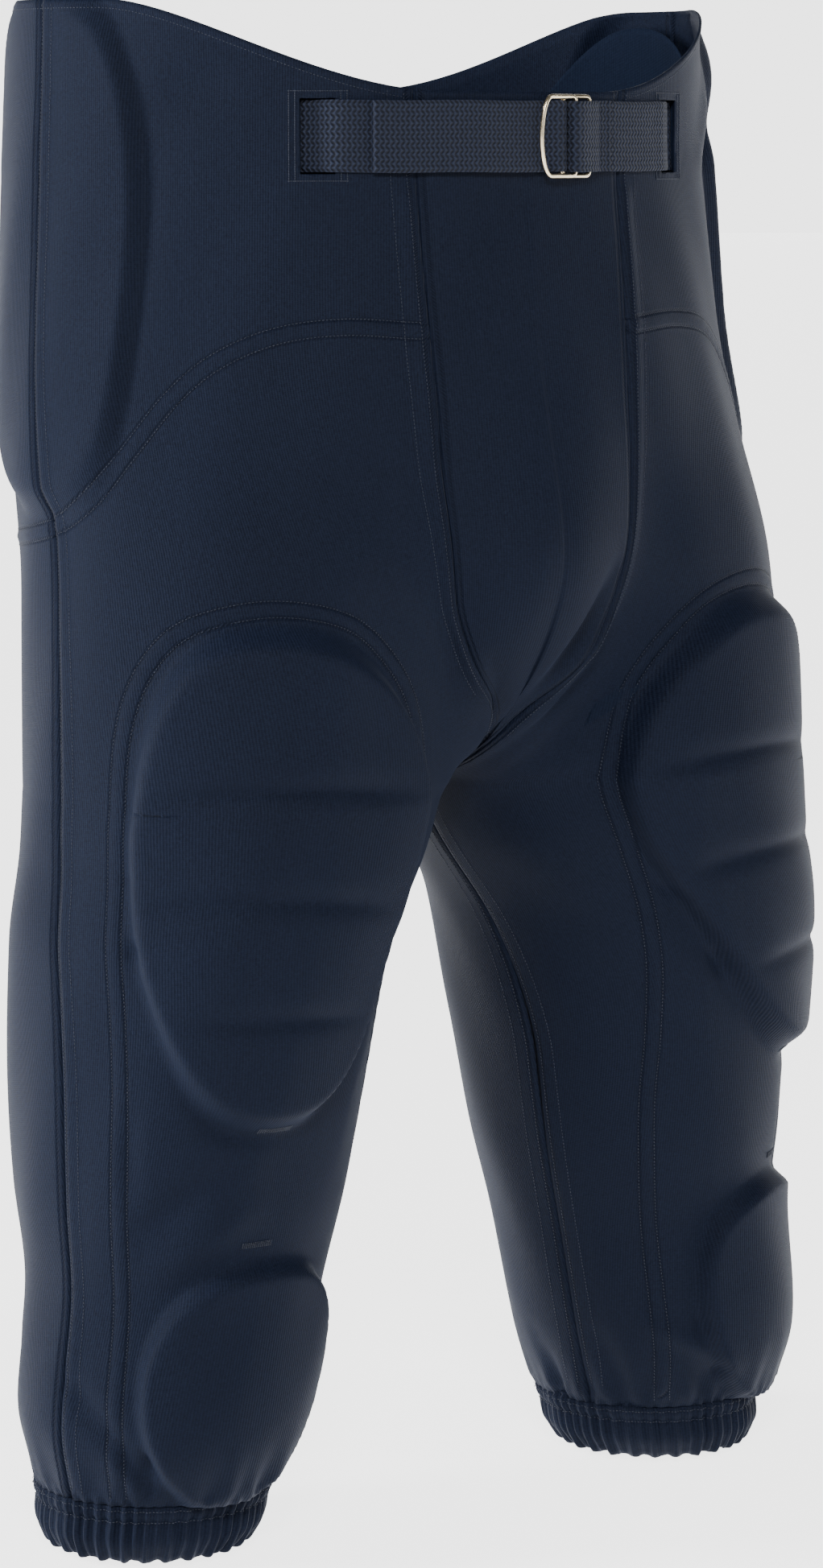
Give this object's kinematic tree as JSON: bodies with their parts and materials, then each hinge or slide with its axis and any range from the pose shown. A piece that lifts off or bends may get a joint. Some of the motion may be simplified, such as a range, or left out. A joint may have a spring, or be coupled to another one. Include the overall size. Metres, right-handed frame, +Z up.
{
  "type": "padded football pants",
  "caption": "Knee-length padded knit football pants with gathered cuffs, hip, thigh, knee and tail pads in sewn pockets, and a webbing belt closed through metal D-rings.",
  "frame": {"origin": "middle of the waist opening, level with the middle of the belt", "axes": "+Z up the body, -Y to the wearer's front, +X to the wearer's left"},
  "size_m": [0.4205, 0.2867, 0.709],
  "materials": {
    "knit": "semi-satin fine-rib stretch knit, navy",
    "lining": "matte warp knit, navy",
    "foam": "closed-cell foam, matte",
    "elastic": "woven elastic, matte",
    "webbing": "herringbone webbing, matte",
    "metal": "pale nickel-plated wire, polished"
  },
  "bodies": {
    "garment": {"fly_panel": "knit", "tail_pad": "foam", "tail_pad_liner": "lining", "belt_back_run": "webbing", "belt_front_run": "webbing", "ring_strap": "webbing", "rear_ring": "metal", "right_front_panel": "knit", "right_back_panel": "knit", "right_cuff_casing": "knit", "right_cuff_elastic": "elastic", "right_thigh_pad": "foam", "right_knee_pad": "foam", "right_hip_pad": "foam", "right_leg_pad_liner": "lining", "right_hip_pad_liner": "lining", "right_belt_facing": "lining", "right_slot_patch": "lining", "left_front_panel": "knit", "left_back_panel": "knit", "left_cuff_casing": "knit", "left_cuff_elastic": "elastic", "left_thigh_pad": "foam", "left_knee_pad": "foam", "left_hip_pad": "foam", "left_leg_pad_liner": "lining", "left_hip_pad_liner": "lining", "left_belt_facing": "lining", "left_slot_patch": "lining"},
    "front_ring": {"front_ring": "metal"}
  },
  "joints": [
    {"name": "front_ring_swing", "type": "hinge", "parent": "garment", "child": "front_ring", "pos_m": [0.02288, -0.13289, 0], "axis": [0, 0, 1], "range_deg": [0, 95]}
  ]
}
